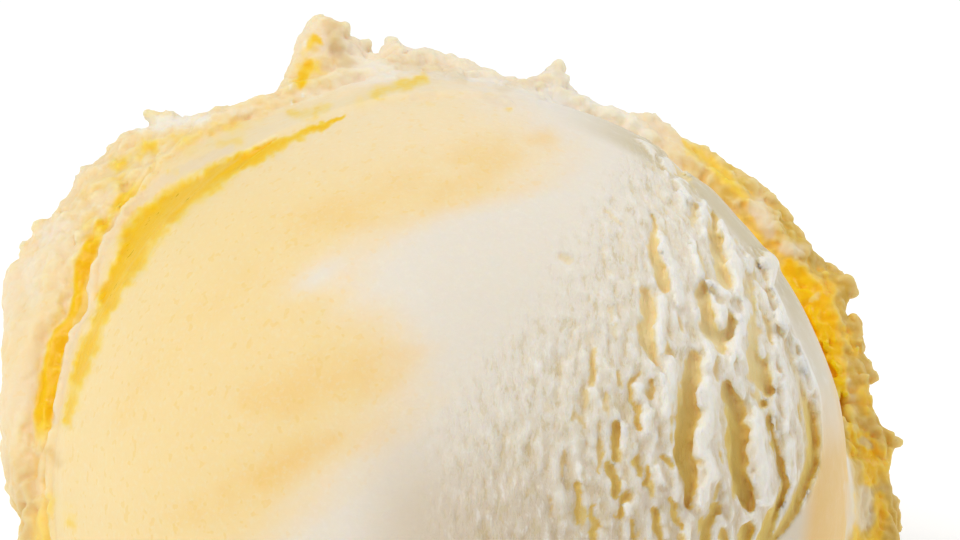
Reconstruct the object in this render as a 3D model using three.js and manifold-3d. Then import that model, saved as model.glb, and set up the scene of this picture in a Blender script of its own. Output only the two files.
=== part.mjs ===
// A scoop of two-tone ice cream, lying on a flat contact patch with its smooth dome turned forward and up.
//
// The body is one solid. A ball with a smooth, slightly lipped dome; behind the dome's edge a narrow crevice, then a
// ragged torn collar that stands out all round; behind the collar a rough, flatter torn back. The ball has settled a
// little where it rests, so its underside is a flat patch.
//
// Millimetres, +Z up, +X to the right and -Y to the front. The origin is at the middle of the underside.
// Every radius is measured from the ball's centre, as a function of two angles about the dome's axis:
//   theta   0 at the middle of the dome, 90 at the ball's waist, 180 at the middle of the back
//   phi     round the axis: 0 to the right, 90 to the top, 180 to the left, 270 to the bottom and front
import * as THREE from 'three';
import { mergeVertices } from 'three/addons/utils/BufferGeometryUtils.js';
import Module from 'manifold-3d';

// ---- driving sizes --------------------------------------------------------------------------------------------------
const BALL_RADIUS = 30;          // the dome: a 60 mm ball, as a size 12 to 16 scoop makes
const AXIS_TURN = 8;             // degrees, the dome's axis turned from the front to the right
const AXIS_RISE = 42;            // degrees, the dome's axis raised from level
const BASE_DROP = 25;            // from the ball's centre down to the flat underside

const LIP_ANGLE = 81;            // the smooth lip that the scoop's edge left on the dome
const LIP_WIDTH = 4;
const LIP_HEIGHT = 0.35;
const CREVICE_ANGLE = 89.5;      // the gap between the dome and its collar
const CREVICE_WIDTH = 2.6;
const CREVICE_DEPTH = 2.2;

const COLLAR_ANGLE = 97;         // the collar's crest
const COLLAR_FRONT = 5.2;        // degrees from the crest down to the crevice
const COLLAR_REAR = 12;          // degrees from the crest back to the torn side
const COLLAR_RADIUS = 36.6;      // the crest's usual radius
const COLLAR_RAG = 0.7;          // how far the crest is torn in and out
// lobes of the crest: where (phi), how wide, how much higher or lower than usual
const LOBES = [
  { at: 10, wide: 4.5, high: -1.2 },
  { at: 25, wide: 7, high: 2.1 },
  { at: 46, wide: 12, high: 2.3 },
  { at: 58, wide: 5, high: 0.5 },
  { at: 70.5, wide: 2.8, high: 3.2 },
  { at: 80, wide: 4, high: 1.5 },
  { at: 91, wide: 4.2, high: 3.8 },
  { at: 100.2, wide: 4.4, high: 6.3 },
  { at: 109, wide: 3.5, high: 0.7 },
  { at: 122, wide: 5, high: 3.6 },
  { at: 133, wide: 6, high: 3.6 },
  { at: 146, wide: 6, high: 4.4 },
  { at: 158, wide: 6, high: 0.6 },
  { at: 186, wide: 16, high: -2.8 },
  { at: 232, wide: 14, high: 1.0 },
  { at: 270, wide: 24, high: -2.6 },
  { at: 318, wide: 13, high: 0.8 },
  { at: 345, wide: 8, high: 0.9 },
];

// on the left the dome's edge has folded over into a second, inner ridge, with the crevice behind it
const FOLD_ANGLE = 86;
const FOLD_WIDTH = 3.0;
const FOLD_HEIGHT = 1.5;
const FOLD_MIDDLE = 150;         // phi of the fold's middle, and how far it runs each way
const FOLD_REACH = 42;
const FOLD_PUSH = 2.4;           // degrees by which the fold pushes the crevice back

const BACK_RADIUS = 27.2;        // the torn back is flatter than the dome
const BACK_ANGLE = 112;          // where the collar has run out into the back
const BACK_LUMP = 1.5;           // height of the lumps of the torn back
const BACK_LUMP_SIZE = 8;        // and their size

// tears in the dome: long dents that run from top to bottom of its right half, at (theta, phi)
const TEARS = [
  { theta: 33, phi: 11, long: 5.0, wide: 1.4, deep: 1.1 },
  { theta: 23, phi: 13, long: 4.0, wide: 1.1, deep: 0.8 },
  { theta: 27, phi: 346, long: 5.0, wide: 1.6, deep: 1.2 },
  { theta: 35, phi: 343, long: 5.0, wide: 1.6, deep: 1.2 },
  { theta: 40, phi: 358, long: 3.0, wide: 1.4, deep: 0.9 },
  { theta: 51, phi: 356, long: 9.0, wide: 1.2, deep: 0.8 },
  { theta: 30, phi: 318, long: 5.0, wide: 1.5, deep: 1.0 },
  { theta: 42, phi: 325, long: 5.0, wide: 1.4, deep: 0.9 },
];

const TURNS = 110;               // steps round the axis
const RINGS = 43;                // steps from the dome's middle to the back's

// ---- directions -----------------------------------------------------------------------------------------------------
const rad = THREE.MathUtils.degToRad;
const axis = new THREE.Vector3(
  Math.sin(rad(AXIS_TURN)) * Math.cos(rad(AXIS_RISE)),
  -Math.cos(rad(AXIS_TURN)) * Math.cos(rad(AXIS_RISE)),
  Math.sin(rad(AXIS_RISE)),
);
const toRight = new THREE.Vector3(Math.cos(rad(AXIS_TURN)), Math.sin(rad(AXIS_TURN)), 0);
const toTop = new THREE.Vector3().crossVectors(axis, toRight);

function direction(theta, phi) {
  const s = Math.sin(rad(theta));
  return new THREE.Vector3()
    .addScaledVector(axis, Math.cos(rad(theta)))
    .addScaledVector(toRight, s * Math.cos(rad(phi)))
    .addScaledVector(toTop, s * Math.sin(rad(phi)));
}

// ---- lumps: smooth noise on a lattice of fixed hashed values --------------------------------------------------------
function latticeValue(i, j, k) {
  let h = (Math.imul(i, 374761393) + Math.imul(j, 668265263) + Math.imul(k, 1442695041)) | 0;
  h = Math.imul(h ^ (h >>> 13), 1274126177);
  h = (h ^ (h >>> 16)) >>> 0;
  return h / 2147483648 - 1;
}

function lumps(x, y, z) {
  const i = Math.floor(x), j = Math.floor(y), k = Math.floor(z);
  const ease = (t) => t * t * t * (t * (t * 6 - 15) + 10);
  const a = ease(x - i), b = ease(y - j), c = ease(z - k);
  let sum = 0;
  for (let di = 0; di < 2; di++) {
    for (let dj = 0; dj < 2; dj++) {
      for (let dk = 0; dk < 2; dk++) {
        sum += (di ? a : 1 - a) * (dj ? b : 1 - b) * (dk ? c : 1 - c) * latticeValue(i + di, j + dj, k + dk);
      }
    }
  }
  return sum;
}

const lumpsAt = (dir, size, shift) =>
  lumps((dir.x * BALL_RADIUS) / size + shift, (dir.y * BALL_RADIUS) / size + shift, (dir.z * BALL_RADIUS) / size + shift);

// ---- the outline of the body ----------------------------------------------------------------------------------------
const bell = (t) => Math.exp(-t * t);
const turn = (a, b) => ((((a - b) % 360) + 540) % 360) - 180;
const smooth = THREE.MathUtils.smoothstep;

function collarRadius(phi, dir) {
  let r = COLLAR_RADIUS;
  for (const lobe of LOBES) r += lobe.high * bell(turn(phi, lobe.at) / lobe.wide);
  return r + COLLAR_RAG * (0.7 * lumpsAt(dir, 4.5, 31.7) + 0.5 * lumpsAt(dir, 2.4, 77.3));
}

function tearDepth(dir) {
  const up = new THREE.Vector3(0, 0, 1);
  let depth = 0;
  for (const tear of TEARS) {
    const middle = direction(tear.theta, tear.phi);
    const along = up.clone().addScaledVector(middle, -up.dot(middle)).normalize();
    const across = new THREE.Vector3().crossVectors(middle, along);
    const off = dir.clone().sub(middle).multiplyScalar(BALL_RADIUS);
    depth = Math.max(depth, tear.deep * bell(off.dot(along) / tear.long) * bell(off.dot(across) / tear.wide));
  }
  return depth;
}

function bodyRadius(theta, phi) {
  const dir = direction(theta, phi);
  // the ball, going over into the flatter torn back
  const back = smooth(theta, COLLAR_ANGLE, 150);
  let r = BALL_RADIUS + (BACK_RADIUS - BALL_RADIUS) * back;
  const torn = smooth(theta, COLLAR_ANGLE, BACK_ANGLE);
  r += torn * BACK_LUMP * (lumpsAt(dir, BACK_LUMP_SIZE, 11.3) + 0.5 * lumpsAt(dir, BACK_LUMP_SIZE / 2, 53.9));
  // the dome's tears, its lip and the crevice behind it
  if (theta < 80) r -= tearDepth(dir);
  const fold = bell(turn(phi, FOLD_MIDDLE) / FOLD_REACH);
  r += LIP_HEIGHT * bell((theta - LIP_ANGLE) / LIP_WIDTH);
  r += FOLD_HEIGHT * fold * bell((theta - FOLD_ANGLE) / FOLD_WIDTH);
  r -= CREVICE_DEPTH * bell((theta - CREVICE_ANGLE - FOLD_PUSH * fold) / CREVICE_WIDTH);
  // the collar
  const off = theta - COLLAR_ANGLE;
  const rise = off < 0 ? bell(off / COLLAR_FRONT) : bell(off / COLLAR_REAR);
  r += (collarRadius(phi, dir) - BALL_RADIUS) * Math.max(0, (rise - 0.02) / 0.98);
  return r;
}

// rings are closer together round the lip, crevice and collar
function ringAngle(t) {
  const shares = [[0, 0], [0.34, 74], [0.72, 104], [1, 180]];
  for (let n = 1; n < shares.length; n++) {
    const [t0, a0] = shares[n - 1];
    const [t1, a1] = shares[n];
    if (t <= t1 + 1e-9) return a0 + ((t - t0) / (t1 - t0)) * (a1 - a0);
  }
  return 180;
}

// a sphere's grid of points, each moved out to the body's own radius
function bodyGeometry() {
  const grid = new THREE.SphereGeometry(1, TURNS, RINGS);
  const place = grid.getAttribute('position');
  const uv = grid.getAttribute('uv');
  for (let n = 0; n < place.count; n++) {
    const column = Math.round(uv.getX(n) * TURNS * 2) / 2;
    const ring = Math.round((1 - uv.getY(n)) * RINGS);
    const theta = ringAngle(ring / RINGS);
    const pole = ring === 0 || ring === RINGS;
    const phi = pole ? 0 : ((column % TURNS) / TURNS) * 360;
    const p = direction(theta, phi).multiplyScalar(bodyRadius(theta, phi));
    place.setXYZ(n, p.x, p.y, p.z);
  }
  return closed(grid);
}

// only positions, with shared corners
function closed(geometry) {
  geometry.deleteAttribute('normal');
  geometry.deleteAttribute('uv');
  return mergeVertices(geometry, 1e-4);
}

// ---- joins and cuts -------------------------------------------------------------------------------------------------
const wasm = await Module();
wasm.setup();

function toSolid(geometry) {
  return new wasm.Manifold(new wasm.Mesh({
    numProp: 3,
    vertProperties: Float32Array.from(geometry.getAttribute('position').array),
    triVerts: Uint32Array.from(geometry.index.array),
  }));
}

function toGeometry(solid) {
  const mesh = solid.getMesh();
  const geometry = new THREE.BufferGeometry();
  geometry.setAttribute('position', new THREE.BufferAttribute(Float32Array.from(mesh.vertProperties), 3));
  geometry.setIndex(new THREE.BufferAttribute(Uint32Array.from(mesh.triVerts), 1));
  return geometry;
}

// the plate's level: everything of the ball below it has been pressed flat
const below = new THREE.BoxGeometry(200, 200, 60).translate(0, 0, -BASE_DROP - 30);
const settled = toGeometry(toSolid(bodyGeometry()).subtract(toSolid(closed(below))));

// the origin goes to the middle of the underside
settled.computeBoundingBox();
const box = settled.boundingBox;
settled.translate(-(box.min.x + box.max.x) / 2, -(box.min.y + box.max.y) / 2, -box.min.z);
settled.computeVertexNormals();

const scoop = new THREE.Mesh(
  settled,
  new THREE.MeshStandardMaterial({ color: 0xf4e2b8, roughness: 0.55, metalness: 0 }),
);
scoop.name = 'scoop';

const part = new THREE.Group();
part.name = 'ice_cream_scoop';
part.add(scoop);
export default part;
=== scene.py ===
import math
import time
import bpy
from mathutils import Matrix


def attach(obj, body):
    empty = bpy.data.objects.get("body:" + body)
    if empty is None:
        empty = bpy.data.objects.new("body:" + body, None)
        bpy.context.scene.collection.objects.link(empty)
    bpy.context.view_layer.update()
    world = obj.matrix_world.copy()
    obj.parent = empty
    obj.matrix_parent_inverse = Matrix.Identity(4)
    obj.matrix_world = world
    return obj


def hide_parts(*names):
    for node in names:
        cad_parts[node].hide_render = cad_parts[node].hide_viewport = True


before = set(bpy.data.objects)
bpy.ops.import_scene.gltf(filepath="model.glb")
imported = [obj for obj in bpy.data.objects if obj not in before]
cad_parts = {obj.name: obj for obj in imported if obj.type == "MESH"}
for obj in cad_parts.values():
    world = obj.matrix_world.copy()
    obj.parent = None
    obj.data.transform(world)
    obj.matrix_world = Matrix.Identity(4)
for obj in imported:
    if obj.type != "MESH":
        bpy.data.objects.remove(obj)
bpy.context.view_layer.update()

from concurrent.futures import ThreadPoolExecutor

import bpy
import numpy as np

T0 = time.time()


def note(text):
    print(f"[scoop] {time.time() - T0:6.1f} s  {text}", flush=True)


# ---------------------------------------------------------------------------------------------------------------------
# Sizes, in millimetres from the ball's centre. They repeat the solid's own.
# ---------------------------------------------------------------------------------------------------------------------
CENTRE = np.array([-0.1267, -0.5609, 25.0])  # the ball's centre in the part's frame
BALL = 30.0
BASE_DROP = 25.0
AXIS_TURN, AXIS_RISE = math.radians(8.0), math.radians(42.0)
W = np.array([
    math.sin(AXIS_TURN) * math.cos(AXIS_RISE),
    -math.cos(AXIS_TURN) * math.cos(AXIS_RISE),
    math.sin(AXIS_RISE),
])
U = np.array([math.cos(AXIS_TURN), math.sin(AXIS_TURN), 0.0])
V = np.cross(W, U)

# the viewpoint: 205.5 mm from the ball's centre, 26 degrees up, 100 mm lens
VIEW_RISE = math.radians(26.0)
VIEW_FAR = 205.5
LENS = 100.0
PITCH, YAW = math.radians(21.47722), math.radians(0.61958)
EYE = VIEW_FAR * np.array([0.0, -math.cos(VIEW_RISE), math.sin(VIEW_RISE)])
AHEAD = np.array([math.sin(YAW) * math.cos(PITCH), math.cos(YAW) * math.cos(PITCH), -math.sin(PITCH)])
RIGHT = np.cross(AHEAD, [0.0, 0.0, 1.0])
RIGHT /= np.linalg.norm(RIGHT)
UP = np.cross(RIGHT, AHEAD)
FOCAL = LENS / 36.0 * 960.0

# pole of the scraped streaks: they run along its meridians, from the top of the dome to its bottom
POLE = np.array([0.0, math.sin(VIEW_RISE), math.cos(VIEW_RISE)])
FACE = np.array([0.0, -math.cos(VIEW_RISE), math.sin(VIEW_RISE)])

STEP = 0.2  # spacing of the sampling grid
F4 = np.float32

# ---------------------------------------------------------------------------------------------------------------------
# Noise
# ---------------------------------------------------------------------------------------------------------------------
_rng = np.random.RandomState(4711)
_perm = _rng.permutation(256).astype(np.int32)
_grad = _rng.normal(size=(256, 3))
_grad /= np.linalg.norm(_grad, axis=1)[:, None]
_gx, _gy, _gz = (np.ascontiguousarray(_grad[:, i], dtype=F4) for i in range(3))
_cell = _rng.uniform(0.08, 0.92, size=(256, 3)).astype(F4)
_cx, _cy, _cz = (np.ascontiguousarray(_cell[:, i]) for i in range(3))


def noise(x, y, z):
    """Gradient noise, about -0.7 to 0.7."""
    xf, yf, zf = np.floor(x), np.floor(y), np.floor(z)
    fx, fy, fz = (x - xf).astype(F4), (y - yf).astype(F4), (z - zf).astype(F4)
    xi, yi, zi = xf.astype(np.int32), yf.astype(np.int32), zf.astype(np.int32)
    a0, a1 = _perm.take(xi & 255), _perm.take((xi + 1) & 255)
    b00, b10 = _perm.take((a0 + yi) & 255), _perm.take((a1 + yi) & 255)
    b01, b11 = _perm.take((a0 + yi + 1) & 255), _perm.take((a1 + yi + 1) & 255)

    def corner(b, dz, px, py):
        h = _perm.take((b + zi + dz) & 255)
        return _gx.take(h) * px + _gy.take(h) * py + _gz.take(h) * (fz - dz)

    ux = fx * fx * fx * (fx * (fx * 6 - 15) + 10)
    uy = fy * fy * fy * (fy * (fy * 6 - 15) + 10)
    uz = fz * fz * fz * (fz * (fz * 6 - 15) + 10)
    out = []
    for dz in (0, 1):
        c00 = corner(b00, dz, fx, fy)
        c10 = corner(b10, dz, fx - 1, fy)
        c01 = corner(b01, dz, fx, fy - 1)
        c11 = corner(b11, dz, fx - 1, fy - 1)
        lo = c00 + ux * (c10 - c00)
        hi = c01 + ux * (c11 - c01)
        out.append(lo + uy * (hi - lo))
    return (out[0] + uz * (out[1] - out[0])) * F4(1.35)


def noise3(p, size, shift=0.0):
    return noise(p[:, 0] / size + shift, p[:, 1] / size + shift * 1.7, p[:, 2] / size + shift * 0.6)


def cells(p, size, shift=0.0):
    """Distance to the nearest of scattered points, in cell units: round bumps when taken from one."""
    x, y, z = p[:, 0] / size + shift, p[:, 1] / size + shift * 1.3, p[:, 2] / size + shift * 0.7
    xf, yf, zf = np.floor(x), np.floor(y), np.floor(z)
    fx, fy, fz = (x - xf).astype(F4), (y - yf).astype(F4), (z - zf).astype(F4)
    xi, yi, zi = xf.astype(np.int32), yf.astype(np.int32), zf.astype(np.int32)
    best = np.full(len(x), 9.0, F4)
    for dx in (-1, 0, 1):
        a = _perm.take((xi + dx) & 255)
        for dy in (-1, 0, 1):
            b = _perm.take((a + yi + dy) & 255)
            for dz in (-1, 0, 1):
                h = _perm.take((b + zi + dz) & 255)
                ex = _cx.take(h) + (dx - fx)
                ey = _cy.take(h) + (dy - fy)
                ez = _cz.take(h) + (dz - fz)
                np.minimum(best, ex * ex + ey * ey + ez * ez, out=best)
    return np.sqrt(best)


def step(a, b, t):
    t = np.clip((t - a) / (b - a), 0, 1)
    return t * t * (3 - 2 * t)


def bell(t):
    return np.exp(-np.minimum(t * t, 30.0))


def soft_min(a, b, k):
    h = np.clip(0.5 + 0.5 * (b - a) / k, 0, 1)
    return b + (a - b) * h - k * h * (1 - h)


def soft_max(a, b, k):
    return -soft_min(-a, -b, k)


def wrap(d):
    return (d + 540.0) % 360.0 - 180.0


def to_line(x, y, line):
    """Distance from each point to a polyline of (x, y, half width), over the width there, and how far along it is."""
    best = np.full(len(x), 1e9, F4)
    where = np.zeros(len(x), F4)
    spans = [math.hypot(b[0] - a[0], b[1] - a[1]) for a, b in zip(line[:-1], line[1:])]
    total, run = sum(spans), 0.0
    for (x0, y0, w0), (x1, y1, w1), span in zip(line[:-1], line[1:], spans):
        t = np.clip(((x - x0) * (x1 - x0) + (y - y0) * (y1 - y0)) / (span * span), 0, 1)
        d = np.hypot(x - x0 - t * (x1 - x0), y - y0 - t * (y1 - y0)) / (w0 + t * (w1 - w0))
        near = d < best
        best = np.where(near, d, best)
        where = np.where(near, (run + t * span) / total, where)
        run += span
    return best, where


# ---------------------------------------------------------------------------------------------------------------------
# Places on the ball
# ---------------------------------------------------------------------------------------------------------------------
class Place:
    """What the shape and colour functions need to know of a point: p is relative to the ball's centre."""

    def __init__(self, p):
        self.p = p
        self.n = np.sqrt((p * p).sum(1)) + 1e-6
        self.d = p / self.n[:, None]
        self.h = p @ W
        self.rho = np.sqrt(np.maximum(self.n ** 2 - self.h ** 2, 1e-9))
        self.theta = np.degrees(np.arctan2(self.rho, self.h))
        self.phi = np.degrees(np.arctan2(p @ V, p @ U)) % 360.0
        e = p - EYE
        far = e @ AHEAD
        self.x = 480.0 + FOCAL * (e @ RIGHT) / far     # where the point lies in the front view, in its pixels
        self.y = 270.0 - FOCAL * (e @ UP) / far
        self.facing = self.d @ FACE
        self.lat = np.degrees(np.arcsin(np.clip(self.d @ POLE, -1, 1)))
        self.lon = np.degrees(np.arctan2(self.d[:, 0], self.d @ FACE))

    def only(self, k):
        """The same for some of the points."""
        part = object.__new__(Place)
        for name, value in self.__dict__.items():
            setattr(part, name, value[k])
        return part


def spot(x, y, h=None):
    """The point that shows at (x, y) in the front view: at height h along the dome's axis, or else on the dome."""
    ray = AHEAD + (x - 480.0) / FOCAL * RIGHT - (y - 270.0) / FOCAL * UP
    if h is not None:
        return EYE + (h - EYE @ W) / (ray @ W) * ray
    ray = ray / np.linalg.norm(ray)
    b = EYE @ ray
    return EYE + (-b - math.sqrt(max(b * b - EYE @ EYE + BALL * BALL, 0.0))) * ray


_rounds = {}


def around(phi, table):
    """A value that changes round the dome's axis, from a table of (phi, value)."""
    if id(table) not in _rounds:
        at = np.arange(7201) / 20.0
        _rounds[id(table)] = np.interp(at, [t[0] for t in table], [t[1] for t in table], period=360.0)
    return _rounds[id(table)].take((phi * 20.0).astype(np.int32), mode="clip")


def horizon(phi):
    """The angle from the dome's middle at which the dome turns out of the front view."""
    r = np.radians(phi)
    return 81.3 - np.degrees(np.arctan2(0.125 * np.cos(r) + 0.270 * np.sin(r), 0.955))


# the collar's crest, the outermost edge of its fin: (phi, mm from the dome's axis)
CREST = [
    (0, 35.7), (3, 36.9), (8, 35.4), (13, 36.2), (18, 36.7), (21, 36.4), (24, 38.9), (30, 38.0), (36, 38.1), (48, 38.1),
    (52, 37.5), (57, 38.0), (63, 36.8), (67, 37.1), (71, 39.2), (75, 37.0), (81, 37.3), (87, 38.2), (90, 39.3), (93, 38.9),
    (96, 40.8), (99, 41.6), (102, 40.2), (105, 37.7), (108, 35.9), (114, 36.4), (120, 39.0), (126, 40.0), (132, 40.6),
    (138, 38.8), (144, 40.0), (148, 39.7), (153, 37.8), (158, 36.6), (165, 35.4), (174, 34.0), (180, 32.8), (188, 33.5),
    (205, 36.2), (232, 37.0), (250, 35.2), (270, 33.8), (290, 35.0), (312, 37.4), (330, 36.4), (345, 36.9),
]
# the gap between the dome and its collar: middle from the axis, height along the axis, and how wide
GAP_RHO = [
    (0, 32.0), (40, 32.2), (70, 31.8), (90, 31.6), (105, 31.7), (115, 31.6), (125, 31.5), (135, 31.2), (145, 30.8),
    (152, 30.4), (160, 30.0), (170, 29.7), (180, 29.8), (200, 30.6), (230, 31.2), (270, 31.6), (320, 31.9),
]
GAP_H = [
    (0, -2.6), (40, -2.6), (70, -2.2), (90, -1.6), (105, -1.2), (125, -1.2), (135, -1.0), (145, -0.4), (152, 0.8),
    (160, 2.4), (170, 3.2), (180, 2.8), (200, 0.0), (230, -1.5), (270, -2.4), (320, -2.6),
]
GAP_R = [
    (0, 0.35), (5, 0.5), (14, 0.85), (24, 0.95), (40, 0.95), (62, 0.85), (75, 0.6), (90, 0.4), (102, -0.8), (205, -0.8),
    (225, 0.6), (270, 0.8), (320, 0.8), (340, 0.3), (352, 0.2),
]
# how much the dome falls away before it turns out of sight
FLAT = [
    (4, 0.0), (14, 0.22), (24, 0.36), (36, 0.36), (42, 0.12), (47, 0.32), (52, 0.0), (95, 0.0), (108, 0.35), (118, 0.45), (150, 0.3),
    (174, 0.35), (184, 0.3), (200, 0.2), (220, 0.0),
]
# where the dome runs over into the bead instead of leaving a gap: how far it fills in
FILL = [(8, 0.0), (64, 0.0), (74, 0.9), (90, 1.0), (108, 1.0), (192, 1.0), (212, 0.5), (235, 0.0), (338, 0.0), (350, 0.7), (358, 0.6)]
# the bead, a folded-over inner ridge of the collar on the left: distance from the axis and height
BEAD_RHO = [
    (60, 34.4), (74, 35.2), (90, 35.6), (100, 34.6), (108, 33.8), (120, 34.2), (128, 34.1), (132.5, 33.3), (138, 32.9), (142, 32.5), (145, 31.95), (148, 31.0),
    (151.5, 30.65), (154.5, 31.1), (158, 31.0), (164, 30.5), (170, 30.3), (180, 30.4), (200, 30.9), (230, 32.0), (260, 33.6),
]
BEAD_H = [
    (0, -2.6), (70, -2.4), (90, -1.9), (100, -1.2), (108, -0.4), (120, 0.6), (130, 1.1), (150, 1.3), (170, 1.3), (176, 0.8), (184, 1.0),
    (200, 0.4), (225, 0.0), (250, -1.4), (280, -2.6),
]
# the crevice behind the bead: distance from the axis, and how open
SLOT_RHO = [
    (60, 35.6), (100, 36.0), (120, 35.1), (128.5, 34.5), (133.5, 34.0), (139, 33.75), (144.7, 33.05), (148.5, 32.0),
    (152, 31.5), (154.5, 32.0), (157, 31.95), (160, 31.8), (166.7, 31.35), (172, 31.1), (177, 31.0), (184, 31.2), (200, 31.6), (230, 32.9), (260, 34.4),
]
SLOT_OPEN = [
    (122, 0.0), (130, 0.1), (132, 0.4), (134.5, 0.65), (137, 0.3), (138.5, 0.7), (140, 0.4), (142, 0.9), (146, 0.95), (148.5, 0.8),
    (150.5, 1.0), (153, 0.75), (156, 0.95), (166, 0.85), (170, 0.35), (172, 0.1), (178, 0.1), (181, 0.55), (190, 0.7),
    (200, 0.5), (215, 0.8), (235, 0.5), (262, 0.0),
]
SLOT_DEEP = [(120, 0.5), (134, 0.65), (140, 0.9), (146, 1.35), (150, 1.5), (164, 1.3), (172, 0.7), (184, 0.8), (200, 1.3)]
# how far the collar's outer wall bulges forward
WALL = [(0, 0.3), (60, 0.3), (90, 0.2), (120, 0.8), (135, 1.6), (150, 2.3), (170, 2.0), (190, 1.2), (230, 0.8), (270, 0.3)]

# lumps on the collar: from (x, y, h, radius) to (x, y, h, radius), x and y in the front view, the rest in mm
LUMPS = [
    # the peak at the top
    ((313, 97, -4.4, 2.6), (322, 35, -5.2, 1.7)), ((292, 92, -3.6, 0.9), (302, 64, -4.6, 0.9)),
    ((344, 56, -5.0, 1.5), (352, 74, -4.6, 1.9)), ((352, 52, -5.0, 1.0), (366, 46, -5.2, 0.35)),
    ((336, 31, -4.4, 0.95), (334, 44, -3.8, 0.9)), ((306, 112, -2.6, 1.2), (330, 104, -2.8, 1.3)),
    ((360, 78, -4.2, 1.3), (372, 66, -5.0, 1.2)), ((345, 88, -3.0, 0.9), (361, 92, -2.9, 0.8)),
    # the ragged ridge right of it
    ((396, 62, -5.0, 1.5), (389, 41, -5.0, 0.45)), ((402, 57, -5.2, 0.8), (424, 63, -5.0, 1.0)),
    ((432, 66, -4.8, 0.85), (447, 67, -5.0, 0.75)), ((458, 77, -4.6, 0.8), (474, 82, -4.6, 0.6)),
    ((484, 84, -4.5, 0.6), (493, 79, -4.6, 0.5)), ((372, 76, -3.6, 1.1), (405, 72, -4.0, 1.2)),
    ((428, 76, -3.6, 0.8), (450, 80, -3.4, 0.7)),
    # the small peak
    ((552, 88, -4.6, 1.5), (559, 67, -5.0, 0.55)), ((545, 84, -4.6, 0.9), (541, 76, -5.0, 0.4)),
    # the upper left
    ((168, 126, -4.8, 1.0), (150, 117, -5.2, 0.4)), ((128, 146, -4.6, 0.7), (126, 140, -5.0, 0.5)),
    ((52, 236, -4.6, 1.0), (44, 226, -5.0, 0.5)), ((64, 222, -3.4, 0.8), (57, 217, -4.2, 0.4)),
    ((118, 196, -1.2, 0.7), (108, 206, -1.0, 0.6)),
    ((96, 224, -0.8, 0.6), (84, 236, -0.8, 0.8)), ((88, 250, -0.6, 0.6), (76, 262, -0.6, 0.6)),
    # the right
    ((757, 209, -3.3, 0.75), (768, 228, -3.2, 0.85)), ((770, 232, -3.3, 0.6), (776, 246, -3.4, 0.5)),
    ((784, 249, -3.3, 0.7), (800, 250, -3.8, 0.8)), ((852, 322, -4.6, 0.72), (849, 328, -4.4, 0.6)),
    ((862, 492, -2.5, 0.95), (863, 524, -2.4, 1.0)), ((860, 440, -3.3, 0.5), (868, 446, -3.6, 0.5)),
    ((818, 296, -3.4, 0.5), (810, 300, -3.2, 0.4)), ((826, 350, -3.3, 0.45), (833, 362, -3.6, 0.6)),
    ((864, 373, -4.8, 0.7), (872, 376, -5.0, 0.3)), ((887, 440, -4.8, 0.9), (897, 443, -5.0, 0.3)),
    ((893, 512, -4.8, 0.8), (899, 526, -5.0, 0.4)), ((780, 212, -4.8, 0.8), (792, 221, -5.0, 0.5)),
    ((844, 286, -4.8, 1.0), (855, 294, -5.0, 0.6)),
]
LUMP_ENDS = [(spot(*a[:3]), a[3], spot(*b[:3]), b[3]) for a, b in LUMPS]
# crumbs that lie on the dome near its top: the same, without a height
CRUMBS = [
    ((412, 96, 0.35), (430, 93, 0.42)), ((432, 96, 0.3), (438, 95, 0.26)), ((486, 97, 0.3), (499, 98, 0.38)),
    ((502, 101, 0.32), (508, 104, 0.34)), ((455, 99, 0.2), (463, 98, 0.2)), ((352, 112, 0.25), (360, 108, 0.25)),
    ((470, 92, 0.3), (478, 94, 0.25)), ((528, 96, 0.22), (534, 98, 0.2)),
]
CRUMB_ENDS = [(spot(a[0], a[1]), a[2], spot(b[0], b[1]), b[2]) for a, b in CRUMBS]


def capsule(p, a, ra, b, rb):
    """Distance to a rounded bar from a to b."""
    ab = b - a
    t = np.clip((p - a) @ ab / (ab @ ab), 0, 1)
    return np.sqrt(((p - a - t[:, None] * ab) ** 2).sum(1)) - (ra + t * (rb - ra))


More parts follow.
